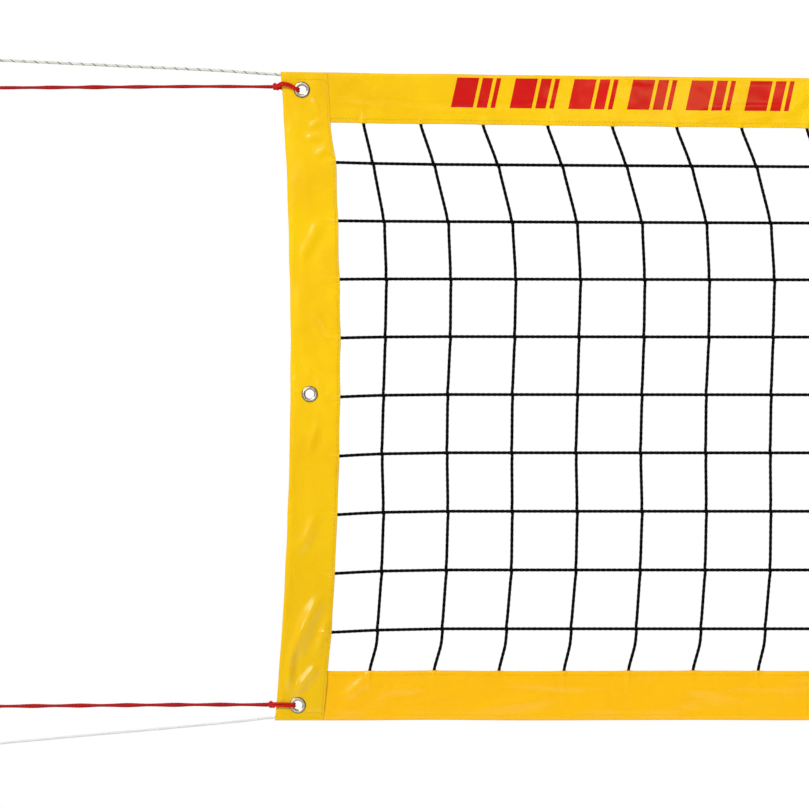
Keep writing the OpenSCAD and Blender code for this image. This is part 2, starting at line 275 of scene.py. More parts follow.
def frames(path, closed=False):
    """Tangent and two cross directions at each point of a path, turning as little as possible."""
    if closed:
        tangent = unit(np.roll(path, -1, axis=0) - np.roll(path, 1, axis=0))
    else:
        tangent = unit(np.gradient(path, axis=0))
    seed = np.array([0, 1, 0]) if abs(tangent[0][1]) < 0.9 else np.array([0, 0, 1])
    side = np.empty_like(path)
    for i, t in enumerate(tangent):
        seed = seed - np.dot(seed, t) * t
        seed = seed / np.linalg.norm(seed)
        side[i] = seed
    return tangent, side, np.cross(tangent, side)


def tube(shape, path, radius, sides, closed=False):
    """Adds a tube round path. radius is one number, one per point, or one per point and side."""
    path = np.asarray(path, float)
    n = len(path)
    radius = np.reshape(radius, (n, -1)) if np.size(radius) > 1 else np.full((n, 1), radius)
    _, side, up = frames(path, closed)
    angle = tau * np.arange(sides) / sides
    ring = np.cos(angle)[:, None] * side[:, None] + np.sin(angle)[:, None] * up[:, None]
    points = path[:, None] + np.broadcast_to(radius, (n, sides))[..., None] * ring
    quads = grid_quads(n, sides, (closed, True))
    i, s = np.divmod(quads[:, :1], sides)
    u = along(np.concatenate([path, path[:1]]))
    uvs = np.stack([u[i + [0, 0, 1, 1]], (s + [0, 1, 1, 0]) / sides], axis=-1).reshape(-1, 2)
    faces = quads.tolist()
    if not closed:
        faces.append(list(range(sides))[::-1])
        faces.append([(n - 1) * sides + s for s in range(sides)])
        uvs = np.concatenate([uvs, np.zeros((2 * sides, 2))])
    return shape.add(points, faces, uvs)


BRAID_GAP = 0.0009
BRAID_SIDES = 24
TWIST_GAP = 0.0012
TWIST_SIDES = 14
YARN_PITCH = 0.005
RIPPLE_WAVES = 9
VALLEY = 0.35


def braid(u, sides, strands, pitch, depth):
    """Share of a braid's radius at lengths u and each side. Its strands wind both ways."""
    angle = tau * np.arange(sides)[None] / sides
    wind = strands * tau * u[:, None] / pitch
    over = np.maximum(np.cos(strands * angle + wind), np.cos(strands * angle - wind))
    return 1 - depth + depth * over


def wound(x, angle, width, height, z=0.0):
    """Points of a coil round the X axis."""
    return np.stack([x, width * np.cos(angle), z + height * np.sin(angle)], axis=1)


def braided(shape, path, radius, sides=BRAID_SIDES, **fine):
    """Adds a braided rope. fine is its number of strands, their pitch and how deep they lie."""
    path = even(path, BRAID_GAP)
    return tube(shape, path, radius * braid(along(path), sides, **fine), sides)


def twisted(shape, path, radius, apart, half_turn, loose):
    """Adds two strands squeezed together that wind round each other along path, lying one behind
    the other for longer than side by side. They part most round loose, a (place, reach)."""
    path = even(path, TWIST_GAP)
    s = along(path)
    _, side, up = frames(path)
    turn = pi * (s - loose[0]) / half_turn
    turn = (turn + pi / 2 + 0.3 * np.sin(2 * turn))[:, None]
    apart = (apart * (0.45 + 0.55 * bump_at(s, *loose)))[:, None]
    angle = tau * np.arange(TWIST_SIDES)[None] / TWIST_SIDES
    laid = radius * (0.95 + 0.05 * np.cos(4 * angle - tau * s[:, None] / YARN_PITCH))
    for start in (0, pi):
        strand = path + apart * (np.cos(turn + start) * side + np.sin(turn + start) * up)
        tube(shape, strand, laid, TWIST_SIDES)
    return shape


def ripple(a, b, seed, size, stretch=1.0):
    """Smooth repeatable noise of about unit height, with features of about size."""
    rng = np.random.default_rng(seed)
    total = 0
    for _ in range(RIPPLE_WAVES):
        turn = rng.uniform(0, tau)
        number = tau / size * rng.uniform(0.45, 1.25)
        phase = number * (cos(turn) * a / stretch + sin(turn) * b) + rng.uniform(0, tau)
        total = total + np.cos(phase)
    return total * sqrt(2 / RIPPLE_WAVES) * 0.7


def pinch(h, d, h0, d0, h1, d1, width, height):
    """A soft ridge of cloth from (h0, d0) to (h1, d1), with a shallow valley along one side."""
    length = hypot(h1 - h0, d1 - d0)
    a, b = (h1 - h0) / length, (d1 - d0) / length
    u = (h - h0) * a + (d - d0) * b
    v = (d - d0) * a - (h - h0) * b
    rise = ease(u, -0.3 * width, 0.35 * length)
    taper = rise * (1 - ease(u, 0.65 * length, length + 0.3 * width))
    return height * taper * (bump_at(v, 0, width) - VALLEY * bump_at(v, 1.7 * width, width))


def wander(a, seed, size):
    """Ripple along one line."""
    return ripple(a, 0 * a, seed, size)


def bump_at(v, centre, width):
    return np.exp(-((v - centre) / width) ** 2)


def ease(v, start, end):
    t = np.clip((v - start) / (end - start), 0, 1)
    return t * t * (3 - 2 * t)


# ---- Materials ----

WEAVE_SCALE = 290.0
TRACER_PITCH = 0.018


def material(name, colour, roughness, values=()):
    """A material, with uniform values on its shader's sockets. Returns it, its nodes and shader."""
    made = bpy.data.materials.new(name)
    made.use_nodes = True
    shader = made.node_tree.nodes["Principled BSDF"]
    values = {"Base Color": (*colour, 1), "Roughness": roughness, **dict(values)}
    for socket, value in values.items():
        shader.inputs[socket].default_value = value
    return made, Nodes(made.node_tree), shader


class Nodes:
    """Short calls for a node tree."""

    def __init__(self, tree):
        self.tree = tree

    def new(self, kind, values=(), **settings):
        """A node with its settings, and its inputs set to a value or linked to an output."""
        node = self.tree.nodes.new(kind)
        for key, value in settings.items():
            setattr(node, key, value)
        for key, value in dict(values).items():
            if isinstance(value, bpy.types.NodeSocket):
                self.tree.links.new(value, node.inputs[key])
            else:
                node.inputs[key].default_value = value
        return node

    def link(self, output, socket):
        self.tree.links.new(output, socket)

    def place(self):
        return self.new("ShaderNodeTexCoord").outputs["Object"]

    def scaled(self, vector, scale):
        return self.new("ShaderNodeMapping", {"Vector": vector, "Scale": scale}).outputs["Vector"]

    def uv(self, scale):
        return self.scaled(self.new("ShaderNodeTexCoord").outputs["UV"], scale)

    def split(self, vector):
        return self.new("ShaderNodeSeparateXYZ", {"Vector": vector}).outputs

    def noise(self, vector, scale, detail=3.0, roughness=0.5, distortion=0.0):
        return self.new("ShaderNodeTexNoise", {
            "Vector": vector, "Scale": scale, "Detail": detail,
            "Roughness": roughness, "Distortion": distortion}).outputs["Fac"]

    def wave(self, vector, scale, direction):
        return self.new("ShaderNodeTexWave", {"Vector": vector, "Scale": scale},
                        bands_direction=direction).outputs["Fac"]

    def spread(self, value, low, high, to_low=0.0, to_high=1.0):
        return self.new("ShaderNodeMapRange", {
            "Value": value, "From Min": low, "From Max": high,
            "To Min": to_low, "To Max": to_high}).outputs["Result"]

    def math(self, operation, a, b=0.0):
        return self.new("ShaderNodeMath", {0: a, 1: b}, operation=operation).outputs[0]

    def mix(self, factor, a, b):
        node = self.new("ShaderNodeMix", {"Factor": factor}, data_type="RGBA")
        for socket, value in ((node.inputs[6], a), (node.inputs[7], b)):
            if isinstance(value, bpy.types.NodeSocket):
                self.link(value, socket)
            else:
                socket.default_value = (*value, 1)
        return node.outputs[2]

    def bump(self, height, strength, distance, normal=None):
        values = {"Height": height, "Strength": strength, "Distance": distance}
        if normal:
            values["Normal"] = normal
        return self.new("ShaderNodeBump", values).outputs["Normal"]


def coated_sheet(name, light, dark, dent_highlight, ground, reach=(0.07, 0.14)):
    """Glossy coated fabric: soft dents with a painted highlight where they rise, the base cloth's
    weave, and painted shade towards the foot of the net, which is full up to the first height of
    reach and gone at the second."""
    made, n, shader = material(name, light, 0.4, {
        "Coat Weight": 0.8, "Coat Roughness": 0.16, "Specular IOR Level": 0.05})
    place = n.place()
    blotch = n.noise(place, 9.0, 4.0, 0.55)
    dents = n.noise(place, 26.0, 2.0, 0.4, 0.6)
    grain = n.noise(place, 900.0, 2.0)
    weave = n.math("MULTIPLY", n.wave(place, WEAVE_SCALE, "X"), n.wave(place, WEAVE_SCALE, "Z"))
    colour = n.mix(n.spread(blotch, 0.35, 0.7), light, dark)
    # Painted highlight: a paler tone where the dents rise.
    colour = n.mix(n.spread(dents, 0.55, 0.8, 0.0, 0.35), colour, dent_highlight)
    # Painted shade: towards the foot of the net the colour turns to the darker ground tone.
    foot = n.spread(n.split(place)["Z"], BOTTOM_Z + reach[0], BOTTOM_Z + reach[1], 1.0, 0.0)
    colour = n.mix(foot, colour, ground)
    n.link(colour, shader.inputs["Base Color"])
    n.link(n.spread(n.noise(place, 45.0), 0.3, 0.7, 0.34, 0.5), shader.inputs["Roughness"])
    normal = n.bump(dents, 0.35, 0.004)
    normal = n.bump(weave, 0.1, 0.0002, normal)
    normal = n.bump(grain, 0.06, 0.0002, normal)
    n.link(normal, shader.inputs["Normal"])
    return made


def cord_fibre(name, light, dark, roughness, lays, twist=False, fleck=None, sheen=0.15,
               specular=0.3):
    """Fibre cord. lays is the number of yarns in a metre and round it, laid both ways unless it
    is a twist. dark is painted shade between the yarns and a darker tone at random. fleck is the
    colour of a tracer yarn."""
    made, n, shader = material(name, light, roughness, {
        "Sheen Weight": sheen, "Specular IOR Level": specular})
    right, left = (n.wave(n.uv((lays[0], turn, 1)), tau / 10, "DIAGONAL")
                   for turn in (lays[1], -lays[1]))
    yarn = right if twist else n.math("MAXIMUM", right, left)
    fuzz = n.noise(n.place(), 1500.0, 3.0)
    # Painted shade: darker between the yarns, where the yarn height is low.
    colour = n.mix(n.spread(yarn, 0.0, 0.8), dark, light)
    colour = n.mix(n.spread(n.noise(n.place(), 60.0), 0.35, 0.75, 0.0, 0.35), colour, dark)
    if fleck:
        turn = n.split(n.uv((1 / TRACER_PITCH, 1, 1)))
        run = n.math("FRACT", n.math("SUBTRACT", turn[0], turn[1]))
        tracer = n.spread(n.math("ABSOLUTE", n.math("SUBTRACT", run, 0.5)), 0.045, 0.065, 1.0, 0.0)
        colour = n.mix(tracer, colour, fleck)
    n.link(colour, shader.inputs["Base Color"])
    normal = n.bump(yarn, 0.5, 0.0003)
    normal = n.bump(fuzz, 0.25, 0.0001, normal)
    n.link(normal, shader.inputs["Normal"])
    return made


def nickel_plate():
    """Worn nickel with faint scratches and a little tarnish, its warm tone partly a painted
    reflection of the yellow bands, and painted shade where V on the UV map is 1.
    """
    # The warm colours are partly the nickel's own and partly a painted reflection of the yellow
    # bands.
    made, n, shader = material("nickel_plate", (0.84, 0.77, 0.62), 0.3, {"Metallic": 1.0})
    place = n.place()
    tarnish = n.spread(n.noise(place, 260.0, 4.0), 0.45, 0.75)
    colour = n.mix(tarnish, (0.88, 0.8, 0.64), (0.58, 0.49, 0.35))
    # Painted shade: dark rings where V on the UV map is 1.
    colour = n.mix(n.split(n.uv((1, 1, 1)))["Y"], colour, (0.085, 0.055, 0.015))
    n.link(colour, shader.inputs["Base Color"])
    n.link(n.spread(n.noise(place, 700.0), 0.3, 0.7, 0.24, 0.4), shader.inputs["Roughness"])
    scratches = n.noise(n.scaled(place, (60, 60, 900)), 8.0)
    n.link(n.bump(scratches, 0.12, 0.0001), shader.inputs["Normal"])
    return made


def floor_paint():
    made, n, shader = material("floor_paint", (0.82, 0.82, 0.81), 0.8)
    n.link(n.bump(n.noise(n.place(), 30.0), 0.05, 0.001), shader.inputs["Normal"])
    return made


# Each sheet's light and dark tones, then a paler tone that is a painted highlight where its dents
# rise.
YELLOW = ((0.98, 0.62, 0.001), (0.92, 0.53, 0.001), (1.0, 0.7, 0.002))
RED = ((0.7, 0.005, 0.004), (0.6, 0.004, 0.003), (0.76, 0.01, 0.008))
# The last colour of each sheet is painted shade at the foot of the net; on the end bands it is
# darker and reaches higher.
YELLOW_SHEET = coated_sheet("yellow_sheet", *YELLOW, (0.95, 0.495, 0.001))
END_SHEET = coated_sheet("yellow_end_sheet", *YELLOW, (0.83, 0.498, 0.001), (0.08, 0.56))
RED_PRINT = coated_sheet("red_print", *RED, RED[1])
THREAD = cord_fibre("seam_thread", (0.95, 0.6, 0.03), (0.6, 0.33, 0.01), 0.6, (900, 2), twist=True)
MESH_CORD = cord_fibre("mesh_cord", (0.0028, 0.0028, 0.003), (0.0008, 0.0008, 0.0008), 0.7,
                       (420, 4), sheen=0.0, specular=0.05)
TRACER_ROPE = cord_fibre("tracer_rope", (0.84, 0.83, 0.78), (0.5, 0.48, 0.42), 0.75, (320, 6),
                         fleck=(0.07, 0.07, 0.08))
WHITE_ROPE = cord_fibre("white_rope", (0.85, 0.85, 0.84), (0.55, 0.55, 0.54), 0.65, (320, 6))
RED_FIBRE = {"roughness": 0.6, "lays": (500, 4), "sheen": 0.0, "specular": 0.15}
RED_CORD = cord_fibre("red_cord", (0.47, 0.007, 0.008), (0.24, 0.003, 0.003), **RED_FIBRE)
# Painted light: the ties' red cord made brighter for the knot that lies on the band.
HITCH_CORD_LIT = cord_fibre("red_hitch_cord_lit", (0.7, 0.012, 0.005), (0.34, 0.005, 0.004), **RED_FIBRE)
NICKEL = nickel_plate()


# ---- Band surfaces ----

FOLD_R = 0.0032
OUTER_FOLD_R = 0.0039
EDGE_ZONE = 0.018
RIDGE_W = 0.0026
RIM_TURN = 0.00045
HOLE_R = 0.0095
SEAT_REACH = 0.0135
LINE_GAP = 0.014
LAID = 0.0004
WRAP = 0.012
# How far the inner faces go in from the edges
LIP = 0.009
LIP_COLUMNS = 4
RIM = 0.012
END_SEED = 51


def columns_at(k):
    """Where the upright cords are at level k."""
    return np.array([column_x(i, k) for i in range(1, COLUMNS + 1)])


ROW_ENDS = np.array([float(row_z(k, CORNER_X + END_BAND_W)) for k in range(ROWS, 0, -1)])

# Folds of an end band, in millimetres: where each starts and ends, by height above the bottom and
# distance from the fold, its width, and its height, which is below 0 for a hollow
END_FOLDS = np.array([
    (44, 15, 116, 20, 6, 2.4),
    (84, 17, 205, 58, 10.5, 3.6),
    (42, 26, 88, 64, 7, 2.5),
    (74, 10, 160, 34, 5, 1.3),
    (92, 56, 160, 70, 6, 1.6),
    (250, 18, 330, 50, 8, 1.6),
    (405, 28, 468, 46, 6, 1.2),
    (524, 3, 517, 18, 3, 1),
    (511, 3, 506, 18, 2.8, 0.9),
    (528, 23, 552, 17, 5.5, -1),
    (498, 48, 526, 42.5, 3.6, 1.2),
    (570, 60, 630, 30, 7, 1.2),
    (700, 15, 780, 52, 8, 1.4),
    (914, 38, 926, 70, 4.6, 1.4),
    (896, 30, 902, 64, 4.6, 1.4),
    (868, 44, 884, 72, 4.6, 1.2),
    (930, 58, 962, 50, 4.2, 1.3),
]) / 1000
# The same for the bottom and top bands, by distance from the corner in place of height
BOTTOM_FOLDS = np.array([
    (92, 32, 140, 70, 7, 1.1),
    (150, 34, 170, 54, 3.8, 0.8),
    (150, 46, 230, 52, 6, 0.9),
    (300, 20, 420, 34, 9, 1.2),
    (610, 52, 700, 40, 8, 1.1),
]) / 1000
TOP_FOLDS = np.array([
    (74, 44, 150, 50, 3.4, 1.4),
    (640, 66, 700, 56, 7, 1.7),
    (705, 66, 760, 58, 6, 1.4),
    (780, 60, 812, 22, 9, 2.1),
]) / 1000


def fold_profile(d, radius):
    """Half thickness of a folded edge, at distance d from the fold."""
    return np.sqrt(np.maximum(0, radius ** 2 - np.maximum(0, radius - d) ** 2))


def nearest_gap(x, places):
    """Distance from x to the nearest of the sorted places."""
    i = np.clip(np.searchsorted(places, x), 1, len(places) - 1)
    return np.minimum(np.abs(x - places[i - 1]), np.abs(x - places[i]))


def cord_ridge(gap, d, width, height):
    """What a cord inside a band presses up, at distance gap from it: most near the open edge."""
    rise = 0.35 * ease(d, width - 0.045, width - 0.02) + 0.65 * ease(d, width - EDGE_ZONE, width)
    return height * bump_at(gap, 0, RIDGE_W) * rise


def samples(start, end, step, near=(), offsets=()):
    """Sorted places from start to end, with more of them round the near places."""
    base = np.linspace(start, end, ceil((end - start) / step) + 1)
    extra = np.array([p + o for p in near for o in offsets]).ravel()
    every = np.sort(np.concatenate([base, extra[(extra > start) & (extra < end)]]))
    keep = np.concatenate([[True], np.diff(every) > 0.0007])
    keep[-1] = True
    return every[keep]


def joined(digits, *places):
    """All the places in order, once each."""
    return np.unique(np.round(np.concatenate(places), digits))


def widths(width, eyelet_d, more=()):
    """Places across a band from its fold to its open edge."""
    fold = [0, 0.0002, 0.0008, 0.0018, 0.0032]
    inner = samples(fold[-1], width, 0.0046, [eyelet_d], np.arange(-0.0125, 0.013, 0.0025))
    return joined(6, fold, more, inner, [width - 0.003, width - 0.001])


def surface(ts, ds, place, holes, lip):
    """A folded sheet's points and faces, which faces lie clear of the holes, and which are on the
    fold. place(t, d, side, inset) gives points on the sheet's face on that side. lip is how far the
    inner face goes in from the open edge."""
    inner = ds[ds >= ds[-1] - lip]
    t_grid, d_grid = np.meshgrid(ts, ds, indexing="ij")
    t_lip, d_lip = np.meshgrid(ts, inner, indexing="ij")
    grid = np.concatenate([
        place(t_lip, d_lip, -1, SHEET_T),
        place(t_grid, d_grid, -1, 0)[:, ::-1],
        place(t_grid, d_grid, 1, 0),
        place(t_lip, d_lip, 1, SHEET_T)[:, ::-1]], axis=1)
    rows, columns = grid.shape[:2]
    quads = grid_quads(rows, columns)
    points = grid.reshape(-1, 3)
    centre = points[quads].mean(axis=1)
    keep = np.ones(len(quads), bool)
    for hole in holes:
        keep &= np.hypot(centre[:, 0] - hole[0], centre[:, 2] - hole[2]) > HOLE_R
    fold = (quads[:, 0] % columns) == len(inner) + len(ds) - 1
    return points, quads, keep, fold


class LongBand:
    """The top or bottom band, which rises (way 1) or hangs (way -1) from its fold at edge(x). Its
    height waves by a height over a length, and less away from its fold by the share settled."""

    def __init__(self, label, edge, way, width, eyelet, cords, folds, seed, wave, settled):
        self.label, self.edge, self.way, self.width = label, edge, way, width
        self.cords, self.folds, self.seed = cords, folds, seed
        self.wave, self.settled = wave, settled
        self.holes = (EYELETS[eyelet], FAR_EYELETS[eyelet])
        start, end = low(f"{label}_band")[0], high(f"{label}_band")[0]
        near = samples(start, start + 0.18, 0.0026)
        xs = samples(start, end, 0.0105, cords, (-0.0055, -0.0025, 0, 0.0025, 0.0055))
        self.xs = joined(5, xs, near, other_end(near))
        self.ds = widths(width, abs(EYELETS[eyelet][2] - edge(CORNER_X)))

    def half(self, x, d, side):
        """Half thickness at x and distance d from the fold."""
        width, seed, back = self.width, self.seed, side > 0
        pinches = sum(pinch(from_corner(x), d, *fold) for fold in self.folds)
        body = ease(from_corner(x), END_BAND_W - 0.01, END_BAND_W + 0.025) * ease(d, 0.004, 0.016)
        hem = -0.00055 * bump_at(d, 0.009 + 0.001 * wander(x, seed + 7, 0.25), 0.0022)
        fold = 0.6 * width + 0.0035 * wander(x, seed + 1, 0.16)
        crease = -0.0007 * bump_at(d, fold, 0.0035) + 0.0005 * bump_at(d, fold + 0.008, 0.006)
        crease = crease * np.clip(0.55 + 0.6 * wander(x, seed + 2, 0.28), 0, 1.2)
        dents = 0.00042 * ripple(x, d, seed + 3 + back, 0.085, 1.3)
        fine = 0.00011 * ripple(x, d, seed + 5 + back, 0.03)
        soft = hem + crease + dents + fine + pinches - 0.00015
        gap = nearest_gap(x, self.cords)
        cord = cord_ridge(gap, d, width, 0.00055)
        beside = 0.006 * ease(d, width - 0.02, width) + 0.002
        pucker = -0.0004 * bump_at(gap, beside, 0.003) * ease(d, width - EDGE_ZONE, width)
        selvage = 0.00022 * bump_at(d, width - SELVAGE_INSET, 0.003)
        rim = -RIM_TURN * ease(d, width - 0.004, width)
        return fold_profile(d, FOLD_R) + body * soft + cord + pucker + selvage + rim

    def place(self, x, d, side, inset):
        """The point on the face on that side, inset into the sheet."""
        drawn = 0.0007 * bump_at(nearest_gap(x, self.cords), 0, 0.007) * ease(d, 0.05, self.width)
        wave = self.wave[0] * wander(x, self.seed + 6, self.wave[1])
        z = self.edge(x) + self.way * d + self.way * drawn
        z = z + wave * (1 - ease(d, 0, 0.004) * self.settled)
        return np.stack([x, side * (self.half(x, d, side) - inset), z], axis=-1)

    def sheet(self):
        points, quads, keep, _ = surface(self.xs, self.ds, self.place, self.holes, LIP)
        name = f"{self.label}_band"
        return Shape().add(points, quads[keep].tolist()).build(
            f"{name}_sheet", YELLOW_SHEET, "net", "pvc_band", [name])


TOP_BAND = LongBand("top", top_edge, way=-1, width=TOP_BAND_H, eyelet=0, cords=columns_at(0),
                    folds=TOP_FOLDS, seed=11, wave=(0.00035, 0.16), settled=0.3)
BOTTOM_BAND = LongBand("bottom", bottom_edge, way=1, width=BOTTOM_BAND_H, eyelet=2,
                       cords=columns_at(ROWS + 1), folds=BOTTOM_FOLDS, seed=31, wave=(0.0004, 0.2),
                       settled=0.0)


def end_half(z, d, side):
    """Half thickness of an end band at height z and distance d from its fold."""
    back = side > 0
    from_end = np.minimum(TOP_Z - z, z - BOTTOM_Z)
    is_open = 1 - ease(from_end, LINE_GAP - 0.004, LINE_GAP + 0.003)
    flat = fold_profile(d, OUTER_FOLD_R)
    flat = flat + (OUTER_FOLD_R - flat) * is_open
    body = ease(d, 0.003, 0.014) * (1 - 0.6 * is_open)
    slant = d + 0.135 * (z - (TOP_Z + BOTTOM_Z) / 2)
    dents = 0.00092 * ripple(z, slant, END_SEED + 1 + back, 0.11, 1.6)
    fine = 0.00014 * ripple(z, d, END_SEED + 3 + back, 0.032)
    drag = 0.0003 * bump_at(d, 0.03 + 0.01 * wander(z, END_SEED + 5, 0.3), 0.007)
    hem = -0.0004 * (bump_at(from_end, 0.0125, 0.003) * body)
    turn = 0.006 + 0.0009 * wander(z, END_SEED + 6, 0.022)
    crumple = 0.0006 * ease(d, turn - 0.0016, turn + 0.0016) * (1 - ease(d, 0.013, 0.032))
    crumple = crumple * np.clip(0.6 + 0.6 * wander(z, END_SEED + 8, 0.12), 0, 1.2)
    gap = nearest_gap(z, ROW_ENDS)
    cord = cord_ridge(gap, d, END_BAND_W, 0.0006)
    pucker = -0.00055 * bump_at(gap, 0.005, 0.0026) * ease(d, END_BAND_W - EDGE_ZONE, END_BAND_W)
    soft = body * (dents + fine + drag + hem) + crumple + cord + pucker
    pinches = sum(pinch(z - BOTTOM_Z, d, *fold) for fold in END_FOLDS)
    rim = -RIM_TURN * ease(d, END_BAND_W - 0.006, END_BAND_W)
    seat = np.minimum.reduce([
        np.hypot(z - e[2], d - inset) for e, inset in zip(EYELETS, EYELET_INSET)])
    calm, clear = ease(seat, 0.01, 0.024), ease(seat, 0.0125, 0.017)
    return flat + calm * soft + clear * body * pinches + rim


def end_place(z, d, side, inset):
    """On the end band's face, which lies on the long bands near its ends."""
    y = end_half(z, d, side)
    under = end_edge(z) + d
    for band in (TOP_BAND, BOTTOM_BAND):
        height = band.way * (z - band.edge(under))
        lies = (height > 0) & (height < band.width) & (d > WRAP)
        y = np.where(lies, np.maximum(y, band.half(under, height, side) + LAID), y)
    if inset:
        y = np.maximum(y - inset, 0.0002)
    drop, rise = TOP_Z - z, z - BOTTOM_Z
    slack = 0.0006 * ease(nearest_gap(z, ROW_ENDS), 0.004, 0.034)
    slack = slack + 0.0045 * (1 - ease(drop, 0.082, 0.15)) + 0.0015 * (1 - ease(rise, 0, 0.16))
    x = under + inset * (1 - ease(d, 0.004, WRAP)) + 0.0004 * wander(z, END_SEED + 6, 0.09)
    x = x - slack * ease(d, 0.03, END_BAND_W)
    dip = 0.001 * (d / END_BAND_W) * (1 - ease(drop, 0, 0.1))
    return np.stack([x, side * y, z - dip], axis=-1)


def end_sheet(label, mirrored):
    """The end band. Its inner face is made only near its rims, where it can be seen."""
    zs = samples(BOTTOM_Z, TOP_Z, 0.0045, ROW_ENDS, (-0.005, -0.0025, 0, 0.0025, 0.005))
    seats = [samples(e[2] - SEAT_REACH, e[2] + SEAT_REACH, 0.0025) for e in EYELETS]
    ends = [samples(BOTTOM_Z, BOTTOM_Z + 0.02, 0.002), samples(TOP_Z - 0.02, TOP_Z, 0.002)]
    zs = joined(5, zs, *seats, *ends)
    ds = widths(END_BAND_W, EYELET_INSET[1], [0.0042, 0.0051, 0.006, 0.0069, 0.009])
    points, quads, keep, fold = surface(zs, ds, end_place, EYELETS, END_BAND_W)
    height = points[quads].mean(axis=1)[:, 2]
    from_end = np.minimum(TOP_Z - height, height - BOTTOM_Z)
    keep &= ~(fold & (from_end < LINE_GAP - 0.002))
    columns = len(points) // len(zs)
    column = quads[:, 0] % columns
    inside = len(ds) - LIP_COLUMNS
    hidden = (column < inside) | (column >= columns - 1 - inside)
    keep &= ~(hidden & (from_end > RIM))
    faces = quads[keep].tolist()
    half = columns // 2
    for row in (0, len(zs) - 1):
        line = range(row * columns, (row + 1) * columns)
        for j in range(len(ds) - 1):
            for quad in ((j, j + 1, half - 2 - j, half - 1 - j),
                         (half + j, half + 1 + j, -2 - j, -1 - j)):
                faces.append([line[v] for v in quad][::1 if row else -1])
    name = f"{label}_end"
    return Shape().add(points, faces).build(
        f"{name}_sheet", END_SHEET, "net", "pvc_band", [f"{name}_band"], mirrored)


top_sheet = TOP_BAND.sheet()
bottom_sheet = BOTTOM_BAND.sheet()
end_sheets = [end_sheet(label, mirrored) for label, mirrored in ENDS]


# ---- Stitching ----

STITCH_PITCH = 0.0052
STITCH_L = 0.0034
STITCH_R = 0.00034


def stitch_row(shape, place, ts, at, side, across=False):
    """Adds stitches along a band at distance at from its fold, or across it at that height."""
    for a in ts:
        t = a + STITCH_L * np.array([-0.5, -0.25, 0.25, 0.5])
        at_t = np.full_like(t, at)
        line = place(at_t, t, side, 0) if across else place(t, at_t, side, 0)
        line[:, 1] += side * np.array([-0.0001, 0.00022, 0.00022, -0.0001])
        tube(shape, line, np.array([0.3, 1, 1, 0.3]) * STITCH_R, 4)


def stitches():
    xs = np.arange(CORNER_X + 0.08, other_end(CORNER_X + 0.08), STITCH_PITCH)
    for band in (TOP_BAND, BOTTOM_BAND):
        shape = Shape()
        for side in (-1, 1):
            stitch_row(shape, band.place, xs, band.width - 0.006, side)
        shape.build(f"{band.label}_band_stitches", THREAD, "net", "pvc_band")
    zs = np.arange(BOTTOM_Z + 0.01, TOP_Z - 0.008, STITCH_PITCH)
    ds = np.arange(0.026, END_BAND_W - 0.006, STITCH_PITCH)
    for label, mirrored in ENDS:
        shape = Shape()
        for side in (-1, 1):
            stitch_row(shape, end_place, zs, END_BAND_W - 0.004, side)
            for z in (BOTTOM_Z + 0.0045, BOTTOM_Z + 0.0125, TOP_Z - 0.0115):
                stitch_row(shape, end_place, ds, z, side, across=True)
        shape.build(f"{label}_end_stitches", THREAD, "net", "pvc_band", mirrored=mirrored)


stitches()


# ---- Printed stripes ----

PRINT_START = 0.262
PRINT_H = 0.046
PRINT_DROP = 0.0055
PRINT_SLANT = 0.01
STRIPES = (0.034, 0.016, 0.007)
STRIPE_GAP = 0.0055
MOTIF_PITCH = 0.0905
MOTIFS = 6
FILM = 0.00015


def printed_stripe(shape, x0, width, side):
    """One slanted stripe of print, a film that lies on the facets of the top band's sheet."""
    xs, ds = TOP_BAND.xs, TOP_BAND.ds
    end = PRINT_DROP + PRINT_H
    strip = []
    for d in (PRINT_DROP, *ds[(ds > PRINT_DROP) & (ds < end)], end):
        start = x0 + PRINT_SLANT * (1 - (d - PRINT_DROP) / PRINT_H)
        x = np.linspace(start, start + width, ceil(width / 0.002) + 1)
        flat = []
        for e in ds[np.searchsorted(ds, d) - 1:][:2]:
            facets = TOP_BAND.place(xs, np.full_like(xs, e), side, 0)
            flat.append(np.stack([np.interp(x, xs, facets[:, axis]) for axis in range(3)], axis=-1))
        above, below = flat
        z = TOP_BAND.place(x, np.full_like(x, d), side, 0)[:, 2]
        share = (above[:, 2] - z) / (above[:, 2] - below[:, 2])
        strip.append(above + share[:, None] * (below - above) + (0, side * FILM, 0))
    points = np.array(strip)
    quads = grid_quads(*points.shape[:2])
    shape.add(points, (quads if side > 0 else quads[:, ::-1]).tolist())


def printed_motifs():
    for label, side in (("front", -1), ("back", 1)):
        shape = Shape()
        for mirrored in (False, True):
            for m in range(MOTIFS):
                x = CORNER_X + PRINT_START + MOTIF_PITCH * m
                for width in STRIPES:
                    left = other_end(x) - width - PRINT_SLANT if mirrored else x
                    printed_stripe(shape, left, width, side)
                    x += width + STRIPE_GAP
        shape.build(f"printed_stripes_{label}", RED_PRINT, "net", "pvc_band")


printed_motifs()


# ---- Mesh ----

RING_GAP = 0.0028
TWIST_PITCH = 0.0168
KNOT_JOG = 0.0008
BLUR = 7
KNOT_H = 0.003
KNOT_SIZE = (0.00265, 0.0029)
KNOT_TURN_R = 0.00105
KNOT_LEAN = 0.75
TUCK = 0.012
EDGE_CORD_R = 0.0018
EDGE_CORD_GAP = 0.012


def way_of(i):
    """1 for an upright cord in the left half of the net, -1 in the right."""
    return 1 if i <= COLUMNS / 2 else -1


def net_cord(shape, points):
    """A black cord of the mesh: two yarn bundles laid round each other."""
    path = even(points, RING_GAP)
    angle = tau * np.arange(8)[None] / 8 - tau * along(path)[:, None] / TWIST_PITCH
    return tube(shape, path, CORD_R * (0.95 + 0.08 * np.cos(2 * angle)), 8)


